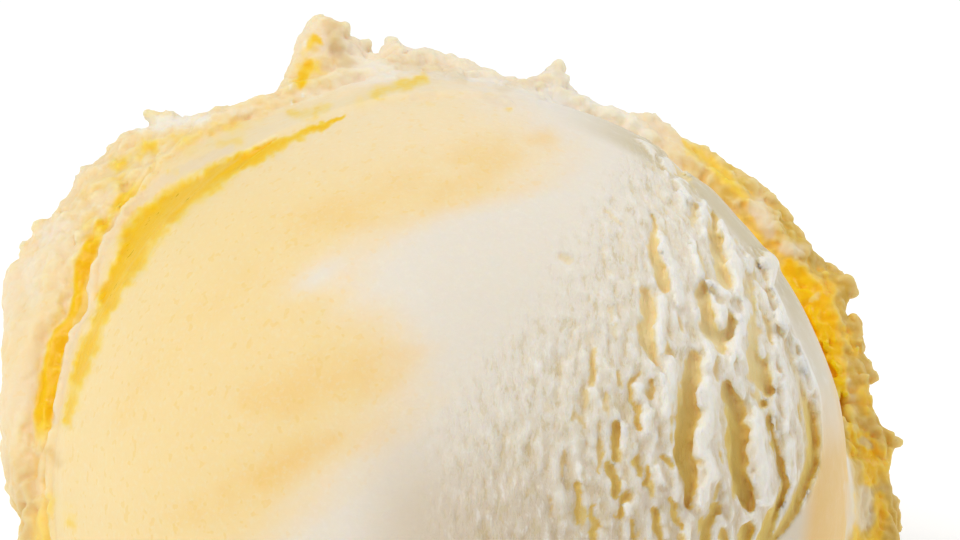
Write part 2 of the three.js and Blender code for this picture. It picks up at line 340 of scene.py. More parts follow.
# tears that are worth placing: in front-view pixels, (x, y, half width) along each, then depth in mm
TEARS = [
    ([(653, 218, 2.5), (655, 232, 4), (655, 248, 7), (658, 265, 8), (662, 280, 7), (667, 291, 3)], 1.35),
    ([(643, 290, 4), (647, 305, 6.5), (648, 322, 7), (645, 337, 6.5), (652, 350, 5), (657, 364, 2.5)], 1.45),
    ([(711, 214, 3), (716, 232, 5.5), (717, 250, 6), (721, 268, 7), (727, 285, 4)], 1.3),
    ([(701, 286, 5.5), (704, 305, 7.5), (709, 325, 8), (718, 337, 7.5), (722, 350, 4)], 1.8),
    ([(732, 318, 4), (728, 332, 6), (723, 349, 4)], 1.5),
    ([(693, 359, 8), (692, 370, 10), (692, 380, 9)], 1.5),
    ([(688, 386, 8), (689, 400, 10), (688, 420, 11), (685, 437, 9), (684, 452, 9), (688, 468, 10), (692, 481, 8),
      (690, 495, 5), (689, 507, 3)], 1.9),
    ([(727, 384, 3.5), (731, 400, 7), (737, 420, 9.5), (738, 440, 11), (737, 456, 8), (738, 470, 9), (743, 486, 9.5),
      (747, 500, 7), (749, 511, 4)], 2.1),
    ([(752, 352, 5), (756, 362, 9), (760, 374, 13), (764, 381, 9)], 1.35),
    ([(751, 282, 3.5), (754, 310, 4), (753, 332, 5), (754, 352, 5)], 0.9),
    ([(765, 317, 3.5), (769, 330, 5), (772, 344, 2.5)], 0.9),
    ([(667, 343, 3.5), (670, 354, 4)], 0.9),
    ([(637, 371, 2.5), (630, 384, 3.5), (629, 398, 3), (636, 408, 4), (638, 426, 4)], 0.95),
    ([(650, 381, 3.5), (651, 397, 3.5)], 0.9),
    ([(593, 351, 3.5), (593, 366, 4.5), (592, 381, 4)], 0.85),
    ([(586, 388, 3), (586, 394, 3)], 0.6),
    ([(611, 310, 3.5), (615, 320, 3), (617, 331, 2)], 0.6),
    ([(587, 297, 3), (588, 303, 3)], 0.45),
    ([(571, 320, 2.5), (572, 342, 2.5)], 0.45),
    ([(590, 336, 3), (589, 342, 3)], 0.45),
    ([(562, 256, 3.5), (569, 259, 5)], 0.6),
    ([(547, 236, 2.5), (548, 247, 2.5)], 0.35),
    ([(608, 212, 3.5), (616, 219, 4), (622, 224, 2.5)], 0.6),
    ([(613, 195, 2.5), (614, 200, 2.5)], 0.35),
    ([(599, 229, 2.5), (601, 239, 3)], 0.45),
    ([(604, 245, 2), (605, 262, 2.5), (609, 276, 2.5)], 0.5),
    ([(622, 229, 2.5), (621, 245, 2.5)], 0.45),
    ([(626, 262, 2), (632, 281, 3.5)], 0.5),
    ([(656, 187, 2.5), (656, 197, 3)], 0.5),
    ([(665, 201, 3), (673, 204, 3)], 0.45),
    ([(693, 206, 3.5), (694, 224, 3.5)], 0.8),
    ([(670, 235, 2), (674, 246, 2)], 0.4),
    ([(616, 427, 5), (616, 445, 6.5), (615, 457, 3.5)], 1.2),
    ([(610, 464, 3.5), (614, 480, 4.5), (617, 493, 4)], 1.2),
    ([(626, 495, 5), (624, 508, 5), (618, 517, 3)], 1.0),
    ([(638, 458, 3.5), (638, 473, 3)], 0.8),
    ([(648, 469, 2.5), (645, 483, 4)], 0.9),
    ([(664, 458, 4), (671, 464, 4)], 1.0),
    ([(671, 500, 3.5), (676, 515, 4), (681, 526, 3)], 0.9),
    ([(654, 508, 3.5), (656, 525, 5), (663, 541, 5)], 1.0),
    ([(713, 504, 5), (716, 512, 5), (704, 524, 5.5), (703, 541, 5)], 1.0),
    ([(746, 528, 6.5), (744, 547, 7)], 1.5),
    ([(724, 531, 4), (726, 546, 4)], 0.9),
    ([(752, 266, 5.5), (748, 285, 5.5), (752, 300, 5)], 0.7),
    ([(668, 160, 4), (677, 169, 7), (688, 179, 4)], 1.2),
    ([(769, 418, 2.5), (772, 440, 3), (778, 455, 3.5), (782, 468, 3.5), (784, 482, 3.5), (781, 500, 4.5), (775, 512, 6),
      (769, 526, 7), (762, 545, 7)], 1.3),
    ([(632, 523, 3), (634, 543, 3.5)], 0.8),
    ([(601, 455, 2.5), (600, 470, 2.5)], 0.6),
    ([(563, 452, 2.5), (563, 476, 2.5)], 0.5),
    ([(578, 484, 3), (579, 502, 4), (577, 524, 3)], 0.9),
    ([(593, 505, 2.5), (596, 524, 3.5), (594, 544, 3.5)], 0.8),
    ([(581, 420, 3), (584, 428, 3)], 0.5),
    ([(550, 498, 2), (551, 516, 2.5)], 0.45),
    ([(605, 400, 2.5), (606, 412, 2.5)], 0.5),
    ([(670, 395, 2.5), (671, 412, 2.5)], 0.6),
]
# round holes, (x, y, radius in pixels, depth)
HOLES = [(768, 391, 6.5, 1.6), (763, 404, 4.5, 1.5)]
# the long groove inside the lip
GROOVE = [
    (781, 322, 2.0), (785, 345, 3.5), (792, 362, 4.0), (798, 378, 4.5), (804, 398, 6.0), (810, 420, 7.5), (813, 440, 7.5),
    (812, 460, 7.5), (806, 480, 8.0), (800, 495, 7.5), (792, 512, 7.0), (782, 530, 7.0), (768, 552, 7.0), (744, 585, 6.0),
    (715, 612, 5.0),
]
# a finer one outside it
FOLD = [(818, 372, 1.6), (825, 396, 2.2), (830, 420, 2.6), (833, 446, 2.2), (832, 470, 1.6), (827, 496, 1.4)]
# raised white ridges and tufts: the same, with their height
RIDGES = [
    ([(707, 382, 7), (708, 400, 8.5), (707, 415, 8.5), (705, 430, 8.5), (700, 441, 8), (703, 453, 7), (711, 461, 7),
      (712, 474, 7), (704, 488, 5.5), (700, 505, 5.5)], 0.55),
    ([(756, 412, 6), (759, 425, 8), (758, 440, 7), (762, 456, 9), (764, 480, 10), (766, 500, 8)], 0.45),
    ([(661, 301, 5.5), (662, 320, 6.5), (659, 338, 6), (663, 354, 4)], 0.5),
    ([(667, 366, 7), (669, 385, 8), (666, 410, 7)], 0.4),
    ([(763, 262, 6), (771, 261, 9), (777, 274, 8), (779, 292, 8), (781, 312, 6), (786, 332, 4)], 0.75),
    ([(722, 224, 4.5), (728, 240, 6.5), (733, 260, 7.5), (738, 280, 6.5), (738, 296, 5)], 0.6),
    ([(660, 237, 4.5), (665, 250, 5.5), (672, 268, 5.5), (678, 285, 7), (680, 302, 5)], 0.5),
    ([(703, 204, 6), (705, 218, 5), (704, 233, 4)], 0.45),
    ([(677, 180, 3.5), (683, 189, 5), (690, 198, 4)], 0.45),
    ([(743, 320, 6), (738, 332, 7), (735, 346, 8), (738, 356, 7)], 0.55),
    ([(722, 309, 5.5), (722, 323, 5.5)], 0.6),
    ([(707, 347, 6), (712, 354, 7), (708, 364, 6)], 0.5),
    ([(641, 384, 4.5), (640, 397, 4)], 0.5),
    ([(697, 309, 3), (698, 321, 3)], 0.4),
    ([(786, 380, 3.5), (787, 400, 4), (786, 428, 3.5)], 0.4),
    ([(790, 440, 6), (790, 465, 6), (792, 484, 5)], 0.3),
    ([(798, 340, 3), (807, 362, 4.5), (814, 380, 5), (818, 396, 4.5), (821, 415, 3), (823, 440, 3), (824, 456, 4),
      (821, 471, 4), (814, 484, 4), (808, 500, 4), (801, 528, 4.5), (786, 556, 4)], 0.45),
    ([(622, 425, 3), (626, 447, 3.5)], 0.4),
    ([(627, 505, 4), (628, 514, 4)], 0.5),
    ([(660, 470, 3.5), (660, 481, 3.5)], 0.5),
    ([(651, 413, 4.5), (647, 432, 4)], 0.4),
    ([(643, 240, 3), (650, 262, 3), (655, 282, 3)], 0.25),
    ([(672, 452, 2.5), (674, 455, 2.5)], 0.5),
    ([(640, 140, 3.5), (655, 152, 4)], 0.3), ([(664, 160, 3.5), (672, 172, 4)], 0.4),
    ([(748, 258, 3.5), (751, 268, 4)], 0.5), ([(710, 282, 3), (718, 288, 4), (727, 294, 4)], 0.45),
    ([(744, 300, 4), (746, 318, 4)], 0.4), ([(692, 240, 3), (697, 258, 4), (700, 274, 3.5)], 0.4),
    ([(812, 392, 2.5), (819, 418, 2.5), (822, 440, 2.5)], 0.3), ([(776, 340, 4), (782, 362, 4), (784, 376, 3)], 0.35),
]
# outer limit of the torn field, just inside the lip: angle round the dome's middle in the front view, radius in pixels
LIP_INNER = [
    (-60, 200), (-40, 250), (-25, 296), (-10, 330), (-6, 346), (0, 364), (7, 374), (14, 378), (21, 374), (27, 374), (31.5, 376),
    (34, 394), (36.5, 392), (39, 376), (42, 374), (46, 377), (50, 382), (52, 389), (55, 396), (58, 394), (62, 397),
]


# the band of gold where the dome runs over into the collar, in the front view: (x, y, half width), then how much
GOLD_BAND = [
    ([(342, 118, 1.6), (318, 126, 3), (290, 139, 4), (262, 152, 6), (246, 160, 6)], 0.75),
    ([(244, 160, 6), (230, 168, 8), (218, 176, 9), (204, 184, 7)], 0.95),
    ([(200, 184, 8), (182, 196, 11), (170, 206, 12), (158, 217, 9)], 1.0),
    ([(164, 210, 8), (148, 224, 13), (138, 238, 13), (130, 252, 9)], 1.05),
    ([(144, 246, 7), (134, 262, 9), (122, 274, 9)], 0.9),
    ([(124, 262, 6), (113, 288, 8), (107, 302, 7)], 0.95),
    ([(106, 304, 6), (99, 320, 6)], 0.75), ([(100, 322, 5), (91, 344, 8), (83, 362, 7), (77, 380, 6)], 0.8),
    ([(76, 386, 6), (71, 404, 6), (68, 424, 4)], 0.6),
]


def strokes(x, y, lines, full, none):
    """The strongest of some strokes at each point: whole within full half widths of its line, gone at none of them."""
    out = np.zeros(len(x))
    if not len(x):
        return out
    x0, x1, y0, y1 = x.min(), x.max(), y.min(), y.max()
    for line, amount in lines:
        reach = none * max(c[2] for c in line)
        xs, ys = [c[0] for c in line], [c[1] for c in line]
        if max(xs) + reach < x0 or min(xs) - reach > x1 or max(ys) + reach < y0 or min(ys) - reach > y1:
            continue
        k = np.nonzero((x > min(xs) - reach) & (x < max(xs) + reach) & (y > min(ys) - reach) & (y < max(ys) + reach))[0]
        if len(k):
            d, _ = to_line(x[k], y[k], line)
            out[k] = np.maximum(out[k], amount * (1 - step(full, none, d)))
    return out


def torn(q):
    """How torn the dome is, from 0 on its smooth left to 1 on its right."""
    left = np.interp(q.y, [60, 130, 180, 230, 300, 360, 440, 540, 640, 760], [660, 610, 570, 535, 490, 425, 385, 380, 410, 450])
    s = np.clip((q.x - left) / (270.0 - 90.0 * (1 - step(170, 330, q.y))), 0, 1.15)
    ang = np.degrees(np.arctan2(481 - q.y, q.x - 454))
    rad = np.hypot(481 - q.y, q.x - 454)
    lim = np.interp(ang, [a for a, _ in LIP_INNER], [r for _, r in LIP_INNER])
    s = s * step(0, 7, lim - rad)
    s = s * step(-42, -10, q.lat) * (1 - step(62, 72, q.lat))
    return s * step(0.02, 0.17, q.facing)


def tearing(q, s):
    """Depth cut, height lifted and small relief of the torn half of the dome, in mm."""
    p = q.p
    a, b, c = 30.0 * np.radians(q.lon), 30.0 * np.radians(q.lat), q.n
    a = a + 0.30 * noise3(p, 2.2, 7.7)
    rag = noise3(p, 0.85, 19.0)
    fray = noise3(p, 0.45, 29.0)
    x, y = q.x, q.y
    jx = x + 4.5 * noise3(p, 1.2, 71.0) + 3.4 * rag + 2.2 * fray
    jy = y + 5.0 * noise3(p, 1.3, 75.0) + 2.0 * rag
    cut = 0.33 * strokes(jx, jy, TEARS, 0.62, 1.28) * (1 + 0.4 * step(300, 420, y))
    for hx, hy, r, deep in HOLES:
        d = np.hypot(x + 1.5 * fray - hx, y - hy) / r
        cut = np.maximum(cut, 0.45 * deep * (1 - step(0.7, 1.15, d)))
    d, _ = to_line(x + 1.8 * rag + 1.0 * fray, y, GROOVE)
    cut = np.maximum(cut, (0.20 + 0.25 * step(380, 430, y)) * (1 - step(0.25, 1.3, d)))
    d, _ = to_line(x + 1.2 * rag + 0.8 * fray, y, FOLD)
    cut = np.maximum(cut, 0.22 * (1 - step(0.3, 1.3, d)))
    # below the placed ones: more of the same kind
    lower = step(545, 575, y)
    big = noise(a / 1.5 + 5.1, b / 4.6 + 2.2, c / 3.0)
    mid = noise(a / 0.62 + 15.1, b / 1.9 + 12.2, c / 2.2)
    fine = noise(a / 0.40 + 25.1, b / 1.05 + 22.2, c / 1.6)
    cut = cut * step(0.0, 0.12, s)
    cut = np.maximum(cut, 0.6 * step(0.10, 0.34, big + 0.16 * rag) * step(0.4, 0.9, s) * lower)
    cut = np.maximum(cut, 0.26 * step(0.24, 0.52, mid + 0.12 * rag) * step(0.25, 0.75, s))
    cut = np.maximum(cut, 0.15 * step(0.22, 0.50, fine + 0.08 * rag) * step(0.04, 0.4, s))
    lift = 0.85 * strokes(jx, jy, RIDGES, 0.35, 1.3) * step(0.0, 0.12, s)
    cut = cut * (1 - np.clip(lift * 1.6, 0, 1))
    # between them, low ridges that run the same way, and a crumbly skin
    fibre = noise(a / 0.95 + 35.1, b / 3.4 + 32.2, c / 3.0)
    strand = noise(a / 0.46 + 95.1, b / 1.5 + 92.2, c / 1.6)
    swell = 0.40 * fibre * step(0.15, 0.75, s) + 0.22 * strand * step(0.08, 0.55, s)
    grain = 0.09 * noise(a / 0.40 + 45.1, b / 0.80 + 42.2, c / 0.9) * step(0.0, 0.35, s)
    skin = (0.15 * rag + 0.16 * fray) * step(0.2, 0.85, s)
    in_pit = 1 - 0.75 * step(0.12, 0.36, cut)
    return cut, lift, (swell + grain) * in_pit + skin * (0.4 + 0.6 * in_pit)


def field(p):
    """Below zero inside the ice cream, above zero outside; close to a distance in millimetres."""
    q = Place(p)
    n, theta, phi, rho, h = q.n, q.theta, q.phi, q.rho, q.h

    dome = BALL - 2.6 * step(97, 150, theta) - around(phi, FLAT) * step(-14, 1, theta - horizon(phi))
    ball = n - dome
    rough = step(84, 92, theta)                       # where things are ragged

    out = ball.copy()
    near = (theta > 52) & (theta < 150) & (n > 22)
    if near.any():
        k = np.nonzero(near)[0]
        pk, qk = p[k], q.only(k)
        r_, h_, f_ = qk.rho, qk.h, qk.phi
        wave = noise3(pk, 9.0, 3.1)
        wave2 = noise3(pk, 4.2, 8.4)
        rag = noise3(pk, 1.6, 14.2)
        fray = noise3(pk, 0.75, 37.0)
        tip = around(f_, CREST) + 0.55 * noise3(pk, 2.4, 31.7) + 0.2 * rag
        plain = -1.0 - 0.44 * (r_ - 30.0) + 0.7 * wave + 0.35 * wave2
        slot_rho = around(f_, SLOT_RHO) + 0.36 * rag + 0.24 * fray
        gap_rho, gap_h, gap_r = around(f_, GAP_RHO), around(f_, GAP_H), around(f_, GAP_R)
        bead_rho, bead_h = around(f_, BEAD_RHO), around(f_, BEAD_H) + 0.3 * wave2
        # the collar is a thick fin; its front face runs up to the bead, then over the crevice to the outer wall
        low = np.minimum(plain, -1.8)
        inner = low + (bead_h - low) * step(np.minimum(gap_rho + 0.3, bead_rho - 0.8), bead_rho, r_)
        turn = np.radians(horizon(f_) - 10.0)
        start, high = BALL * np.sin(turn), BALL * np.cos(turn)
        span = np.maximum(bead_rho - start, 0.5)
        part = np.clip((r_ - start) / span, 0, 1.2)
        filled = around(f_, FILL)
        inner = inner + filled * np.maximum(0, high + (bead_h - high) * part - 0.5 * np.sin(math.pi * np.minimum(part, 1)) - inner)
        inner = inner + 0.38 * filled * bell((r_ - bead_rho - 0.2) / 0.5) * step(100, 112, f_)
        slope = (high - bead_h) / span
        even = 0.8 + (1 / np.sqrt(1 + slope * slope) - 0.8) * filled * (1 - step(bead_rho - 0.4, bead_rho + 0.1, r_))
        outer = plain + around(f_, WALL) * bell((r_ - slot_rho - 2.6) / 2.4)
        outer = outer + filled * np.maximum(0, bead_h - 1.2 - 0.95 * np.maximum(r_ - slot_rho - 0.4, 0) - outer)
        face = inner + (outer - inner) * step(-0.1, 0.7, r_ - slot_rho)
        fin = soft_max(soft_max((h_ - face) * even, -8.2 + 0.6 * wave - h_, 0.8), r_ - tip, 1.5)
        body = soft_min(ball[k], fin, 0.8 + 1.2 * filled)
        # skirt behind the fin, filling in towards the torn back
        fill = qk.n - (31.5 + 1.2 * noise3(pk, 6.0, 12.9)) + 0.16 * np.maximum(0, qk.theta - 108)
        body = np.where(h_ < -4, soft_min(body, fill, 2.0), body)
        # lumps
        lo, hi = pk.min(0), pk.max(0)
        for a, ra, b, rb in LUMP_ENDS:
            mid, far = (a + b) / 2, np.linalg.norm(b - a) / 2 + max(ra, rb) + 1.5
            if (mid + far < lo).any() or (mid - far > hi).any():
                continue
            m = np.nonzero((np.abs(pk - mid) < far).all(1))[0]
            if len(m):
                lump = capsule(pk[m], a, ra, b, rb) - 0.12 * rag[m] - 0.08 * fray[m]
                body[m] = soft_min(body[m], lump, 0.45)
        # the gap beside the dome, and the crevice behind the bead
        gap = (np.hypot((r_ - gap_rho - 0.2 * rag) / 0.85, (h_ - gap_h) / 1.7) - gap_r - 0.12 * wave2) * 0.85
        body = soft_max(body, -gap, 0.5)
        off = r_ - slot_rho
        foot = -1.05 - 0.44 * (slot_rho - 30.0) + 0.31 * around(f_, WALL) + 0.7 * wave
        foot = foot + filled * np.maximum(0, bead_h - around(f_, SLOT_DEEP) - foot)
        off = np.where(off > 0, off / (1 + 1.2 * np.clip(h_ - foot, 0, 3)), off)
        much = np.clip(around(f_, SLOT_OPEN) * (1 + 0.6 * wave2) + 0.25 * rag * (around(f_, SLOT_OPEN) < 0.8), 0, 1.1)
        slot = np.maximum(np.abs(off) - 0.60 * much, foot + 0.25 * wave2 - h_)
        body = np.where(much > 0.05, soft_max(body, -slot, 0.22), body)
        out[k] = ball[k] + (body - ball[k]) * step(52, 56, qk.theta)

    # crumbs on the dome near its top
    lo, hi = p.min(0), p.max(0)
    for a, ra, b, rb in CRUMB_ENDS:
        mid, far = (a + b) / 2, np.linalg.norm(b - a) / 2 + max(ra, rb) + 1.0
        if (mid + far < lo).any() or (mid - far > hi).any():
            continue
        m = np.nonzero((np.abs(p - mid) < far).all(1))[0]
        if len(m):
            lump = capsule(p[m], a, ra, b, rb) - 0.10 * noise3(p[m], 0.5, 33.0)
            out[m] = soft_min(out[m], lump, 0.25)

    # raggedness of collar and back
    ragged = (rough > 0.01) & (np.abs(out) < 4.5)
    if ragged.any():
        k = np.nonzero(ragged)[0]
        pk = p[k]
        calm = 1 - 0.8 * bell(wrap(phi[k] - 160.0) / 12.0) * (theta[k] < 104) * step(-0.3, 0.5, rho[k] - around(phi[k], SLOT_RHO))
        calm = calm * (1 - 0.45 * bell(wrap(phi[k] - 102.0) / 6.0)) * (1 - 0.15 * bell(wrap(phi[k] - 48.0) / 16.0))
        back = step(100, 125, theta[k])
        lumps = 1.1 * noise3(pk, 7.5, 21.3) * back
        mids = 0.45 * noise3(pk, 3.1, 40.7)
        crumb = 0.50 * (0.62 - cells(pk, 1.5, 5.5)) * step(-0.25, 0.35, noise3(pk, 6.5, 90.1) + 0.05)
        small = 0.32 * noise3(pk, 1.25, 61.0) + 0.32 * noise3(pk, 0.66, 15.0) + 0.24 * noise3(pk, 0.42, 45.0)
        out[k] -= rough[k] * calm * (lumps + mids + crumb + small)

    # a shallow dip along the band of gold between dome and bead
    dip = (theta > 58) & (theta < 92) & (phi > 95) & (phi < 205) & (n > 27)
    if dip.any():
        k = np.nonzero(dip)[0]
        out[k] += 0.50 * strokes(q.x[k] + 3.0 * noise3(p[k], 1.1, 14.2), q.y[k], GOLD_BAND, 0.2, 1.9)

    # tears in the right half of the dome
    s = torn(q)
    tear = (s > 0.005) & (n > 26) & (n < 33) & (theta < 84)
    if tear.any():
        k = np.nonzero(tear)[0]
        cut, lift, relief = tearing(q.only(k), s[k])
        out[k] += cut - lift - relief

    # faint unevenness of the smooth part
    out = out - 0.10 * (1 - rough) * noise3(p, 7.0, 2.0)
    out = soft_max(out, -BASE_DROP - p[:, 2], 0.4)
    return out.astype(F4)


def rough_field(p):
    """The same body without its fine relief, for finding where the surface runs."""
    q = Place(p)
    ball = q.n - (BALL - 2.6 * step(97, 150, q.theta))
    out_from = q.rho - 30.0
    slab = np.abs(q.h - (-4.6 - 0.22 * out_from)) - np.clip(3.6 - 0.22 * out_from, 1.5, 4.2)
    fin = np.maximum(slab, q.rho - around(q.phi, CREST))
    fill = q.n - 31.5 + 0.16 * np.maximum(0, q.theta - 108)
    body = np.minimum(ball, fin)
    body = np.where(q.h < -3, np.minimum(body, fill), body)
    body = np.where((q.theta > 78) & (q.theta < 95), np.minimum(body, q.n - 32.5), body)
    for a, ra, b, rb in LUMP_ENDS:
        body = np.minimum(body, capsule(p, a, ra, b, rb))
    return np.maximum(body, -BASE_DROP - p[:, 2]), q


# ---------------------------------------------------------------------------------------------------------------------
# Sampling and meshing
# ---------------------------------------------------------------------------------------------------------------------
def spread(work, jobs):
    with ThreadPoolExecutor(4) as pool:
        return list(pool.map(work, jobs))


def sample():
    lo = np.array([-42.0, -34.0, -26.0])
    hi = np.array([42.0, 38.0, 36.0])
    block = 8
    counts = np.ceil((hi - lo) / (STEP * block)).astype(int)
    dims = counts * block
    side = STEP * block
    mids = np.stack(np.meshgrid(*[lo[i] + (np.arange(counts[i]) + 0.5) * side - STEP / 2 for i in range(3)], indexing="ij"), -1).reshape(-1, 3)
    guess, q = rough_field(mids)
    reach = side * 0.87
    margin = np.where(q.theta > 78, 3.6, np.where(q.facing > 0, 2.3, 1.3)) + reach
    busy = np.nonzero(np.abs(guess) < margin)[0]
    values = np.where(guess < 0, F4(-3), F4(3)).reshape(counts)
    grid = np.repeat(np.repeat(np.repeat(values, block, 0), block, 1), block, 2)
    note(f"grid {tuple(dims)}, {len(busy)} of {len(mids)} blocks, {len(busy) * block ** 3 / 1e6:.1f} M samples")
    offs = np.stack(np.meshgrid(*[np.arange(block)] * 3, indexing="ij"), -1).reshape(-1, 3)
    ijk = np.stack(np.unravel_index(busy, counts), -1) * block

    def work(some):
        idx = (some[:, None, :] + offs[None]).reshape(-1, 3)
        f = field(lo + idx * STEP)
        grid[idx[:, 0], idx[:, 1], idx[:, 2]] = f

    spread(work, np.array_split(ijk, max(1, len(ijk) // 260)))
    # a little smoothing, which closes pinholes
    for axis in range(3):
        ahead, behind = np.roll(grid, 1, axis), np.roll(grid, -1, axis)
        ahead += behind
        del behind
        ahead *= F4(0.12)
        grid *= F4(0.76)
        grid += ahead
        del ahead
    return grid, lo


def nets(grid, lo):
    """Surface nets: one vertex in each cell that the surface crosses, one quad across each crossed edge."""
    inside = grid < 0
    sx, sy, sz = grid.shape
    low = inside[:-1, :-1, :-1].copy()
    high = low.copy()
    for i in (0, 1):
        for j in (0, 1):
            for k in (0, 1):
                c = inside[i:sx - 1 + i, j:sy - 1 + j, k:sz - 1 + k]
                low &= c
                high |= c
    ci, cj, ck = np.nonzero(high & ~low)
    number = np.full((sx - 1, sy - 1, sz - 1), -1, np.int32)
    number[ci, cj, ck] = np.arange(len(ci), dtype=np.int32)
    corner = {}
    for i in (0, 1):
        for j in (0, 1):
            for k in (0, 1):
                corner[i, j, k] = grid[ci + i, cj + j, ck + k]
    total = np.zeros((len(ci), 3))
    hits = np.zeros(len(ci))
    for a in corner:
        for axis in range(3):
            if a[axis]:
                continue
            b = list(a)
            b[axis] = 1
            fa, fb = corner[a], corner[tuple(b)]
            cross = (fa < 0) != (fb < 0)
            t = np.where(cross, fa / np.where(cross, fa - fb, 1), 0)
            for m in range(3):
                total[:, m] += np.where(cross, (t if m == axis else a[m]), 0)
            hits += cross
    pts = lo + (np.stack([ci, cj, ck], -1) + total / hits[:, None]) * STEP
    quads = []
    for axis in range(3):
        first = [slice(None)] * 3
        second = [slice(None)] * 3
        first[axis], second[axis] = slice(0, -1), slice(1, None)
        a, b = inside[tuple(first)], inside[tuple(second)]
        edge = a != b
        i, j, k = np.nonzero(edge)
        e = np.stack([i, j, k], -1)
        o1, o2 = [m for m in range(3) if m != axis]
        keep = (e[:, o1] > 0) & (e[:, o2] > 0) & (e[:, o1] < grid.shape[o1] - 1) & (e[:, o2] < grid.shape[o2] - 1)
        e = e[keep]
        leaving = a[e[:, 0], e[:, 1], e[:, 2]]
        ring = []
        for d1, d2 in ((-1, -1), (0, -1), (0, 0), (-1, 0)):
            c = e.copy()
            c[:, o1] += d1
            c[:, o2] += d2
            ring.append(number[c[:, 0], c[:, 1], c[:, 2]])
        ring = np.stack(ring, -1)
        flip = leaving if axis != 1 else ~leaving
        quads.append(np.where(flip[:, None], ring, ring[:, ::-1]))
    return pts, np.concatenate(quads)


def largest(pts, quads):
    """Only the one connected body: no loose specks."""
    label = np.arange(len(pts))
    ends = np.concatenate([quads[:, [0, 1]], quads[:, [1, 2]]])
    while True:
        low = np.minimum(label[ends[:, 0]], label[ends[:, 1]])
        new = label.copy()
        np.minimum.at(new, label[ends[:, 0]], low)
        np.minimum.at(new, label[ends[:, 1]], low)
        while True:
            jump = new[new]
            if (jump == new).all():
                break
            new = jump
        if (new == label).all():
            break
        label = new
    main = np.bincount(label).argmax()
    keep = label == main
    index = np.cumsum(keep) - 1
    inside = keep[quads[:, 0]]
    return pts[keep], index[quads[inside]]


def openness(grid, lo, pts, radius):
    """Share of solid in a small box round each vertex: above one half in a hollow, below it on a ridge."""
    r = max(1, int(round(radius / STEP)))
    vol = (grid < 0).astype(F4)
    for axis in range(3):
        cs = np.cumsum(vol, axis=axis, dtype=F4)
        size = vol.shape[axis]
        a = np.clip(np.arange(size) + r, 0, size - 1)
        b = np.clip(np.arange(size) - r - 1, 0, size - 1)
        vol = (np.take(cs, a, axis=axis) - np.take(cs, b, axis=axis)) / F4(2 * r + 1)
    g = (pts - lo) / STEP
    i0 = np.floor(g).astype(int)
    f = g - i0
    out = np.zeros(len(pts))
    for i in (0, 1):
        for j in (0, 1):
            for k in (0, 1):
                w = (f[:, 0] if i else 1 - f[:, 0]) * (f[:, 1] if j else 1 - f[:, 1]) * (f[:, 2] if k else 1 - f[:, 2])
                out += w * vol[i0[:, 0] + i, i0[:, 1] + j, i0[:, 2] + k]
    return out


grid, low_corner = sample()
note("sampled")
points, faces = nets(grid, low_corner)
note(f"{len(points)} points, {len(faces)} quads")
points, faces = largest(points, faces)
note(f"{len(points)} points, {len(faces)} quads in one body")
hollow_fine = openness(grid, low_corner, points, 0.6)
hollow_wide = openness(grid, low_corner, points, 1.8)
note("openness")
del grid

# ---------------------------------------------------------------------------------------------------------------------
# Colour masks
# ---------------------------------------------------------------------------------------------------------------------
# deeper yellow streaks on the dome, in the front view: (x, y, half width), then how much
STREAKS = [
    ([(300, 228, 14), (380, 196, 26), (470, 170, 26), (548, 140, 12)], 0.46),
    ([(250, 405, 16), (320, 386, 26), (380, 370, 20), (420, 352, 8)], 0.48),
    ([(180, 520, 14), (250, 482, 26), (330, 436, 16)], 0.60),
    ([(120, 420, 10), (180, 330, 20), (250, 270, 14)], 0.22),
    ([(205, 505, 8), (262, 470, 14), (300, 452, 8)], 0.35),
]
# where the yellow gives way to the white: (y, x)
WHITE_EDGE = [
    (60, 470), (110, 500), (150, 548), (190, 520), (215, 430), (235, 375), (262, 330), (285, 322), (310, 352), (350, 392),
    (385, 405), (430, 372), (470, 328), (510, 288), (560, 240), (640, 190), (760, 160),
]
